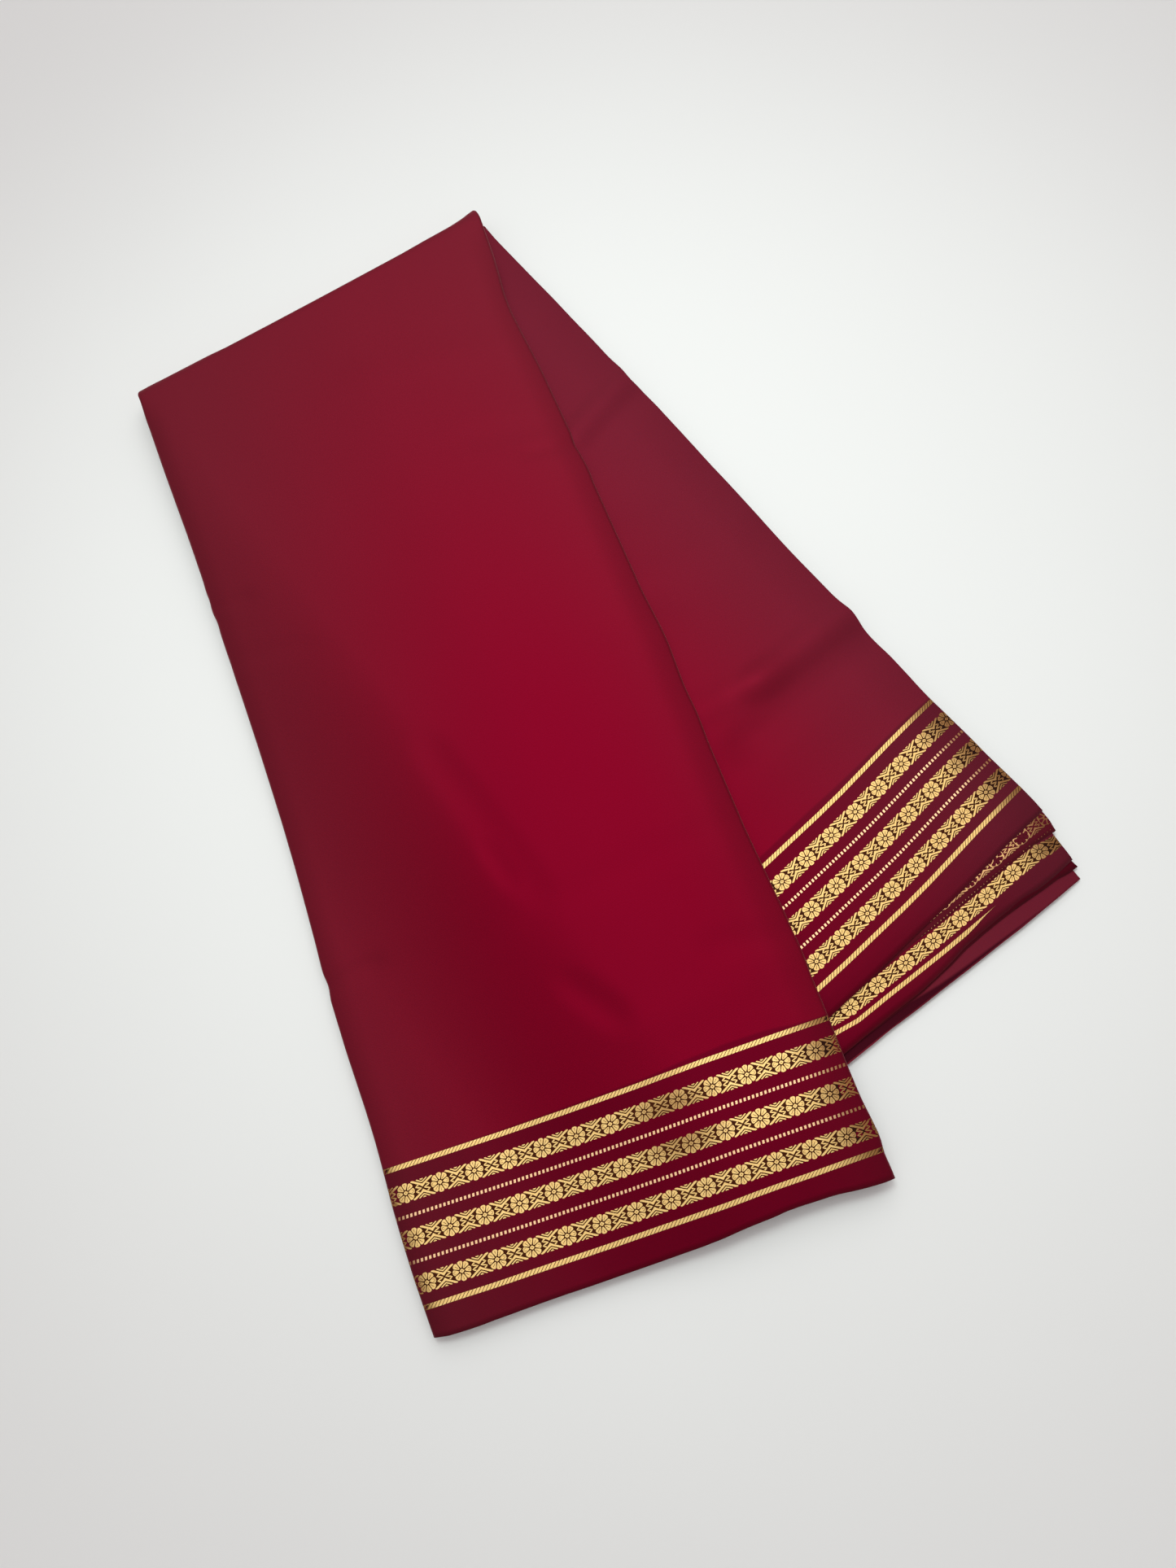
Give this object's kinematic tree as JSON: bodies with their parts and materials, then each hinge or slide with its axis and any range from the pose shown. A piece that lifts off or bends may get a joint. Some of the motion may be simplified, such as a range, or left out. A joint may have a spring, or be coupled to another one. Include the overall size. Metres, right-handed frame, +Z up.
{
  "type": "folded sari",
  "caption": "Maroon silk sari with woven gold borders, pleated into a strip, folded once across its middle and laid flat with the under stretch fanned to one side.",
  "frame": {"origin": "on the table, under the middle of the outline box", "axes": "+Z up from the table, +Y away from the viewer towards the big fold, +X to the right"},
  "size_m": [0.5481, 0.6608, 0.019],
  "materials": {
    "maroon_silk": "crepe silk, right side, soft satin sheen, with a woven gold border",
    "wrong_side_silk": "crepe silk, wrong side, duller, with the outlines of the woven gold",
    "hidden_silk": "crepe silk, folded plies seen at their edges"
  },
  "bodies": {
    "root": {"inner_plies": "hidden_silk", "upper_stretch": "maroon_silk", "under_stretch": "maroon_silk", "under_ply_2": "wrong_side_silk", "under_ply_3": "maroon_silk", "under_ply_4": "hidden_silk"}
  },
  "joints": []
}
